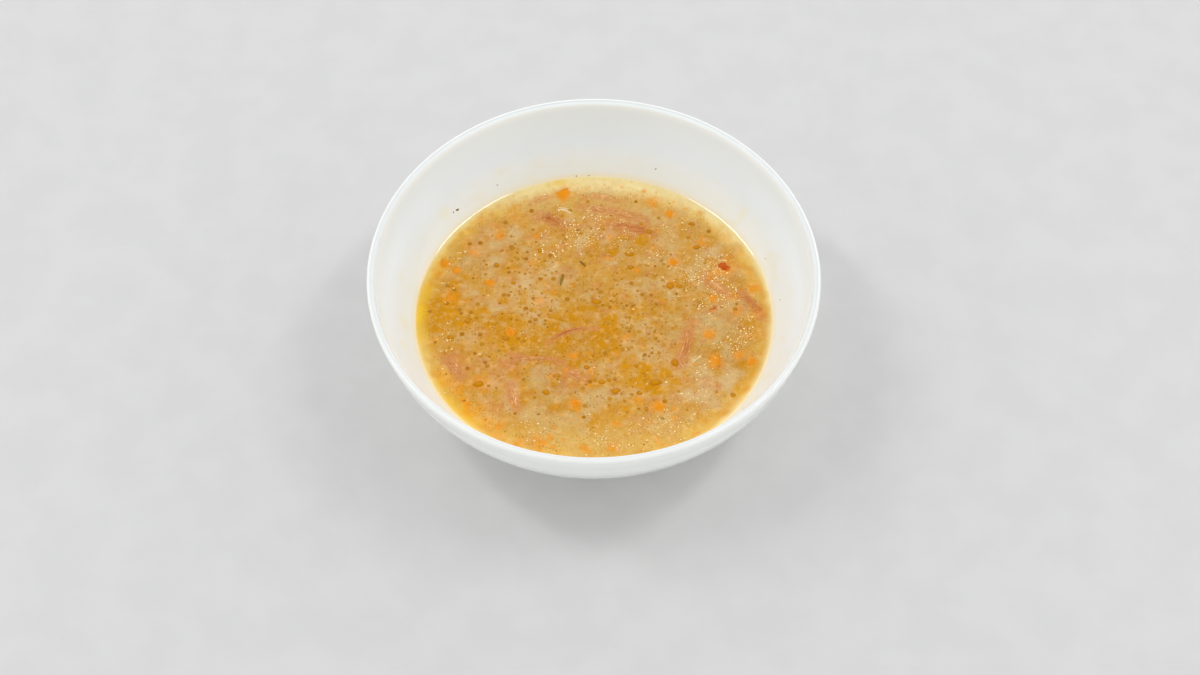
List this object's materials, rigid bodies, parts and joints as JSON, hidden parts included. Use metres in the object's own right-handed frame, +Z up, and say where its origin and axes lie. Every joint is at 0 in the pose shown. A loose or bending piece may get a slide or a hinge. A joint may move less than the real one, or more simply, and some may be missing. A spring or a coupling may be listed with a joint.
{
  "type": "bowl of veal soup",
  "caption": "Round white bowl on a low foot ring, part filled with golden soup in which veal shreds, carrot bits and herbs float.",
  "frame": {"origin": "centre of the foot ring's bottom, on the surface that the bowl stands on", "axes": "+Z up through the middle of the bowl, +Y away from the eater, +X to the eater's right"},
  "size_m": [0.15, 0.15, 0.048],
  "materials": {
    "bowl_glaze": "white, glossy",
    "broth": "wet, cloudy golden tan",
    "veal": "wet, fibrous pinkish brown",
    "onion": "wet, pale cream"
  },
  "bodies": {
    "root": {"bowl": "bowl_glaze", "soup": "broth", "veal_shred_1": "veal", "veal_shred_2": "veal", "veal_shred_3": "veal", "veal_shred_4": "veal", "veal_shred_5": "veal", "veal_shred_6": "veal", "veal_shred_7": "veal", "veal_shred_8": "veal", "veal_shred_9": "veal", "veal_shred_10": "veal", "veal_shred_11": "veal", "veal_shred_12": "veal", "veal_shred_13": "veal", "veal_shred_14": "veal", "onion_strip_1": "onion", "onion_strip_2": "onion"}
  },
  "joints": []
}
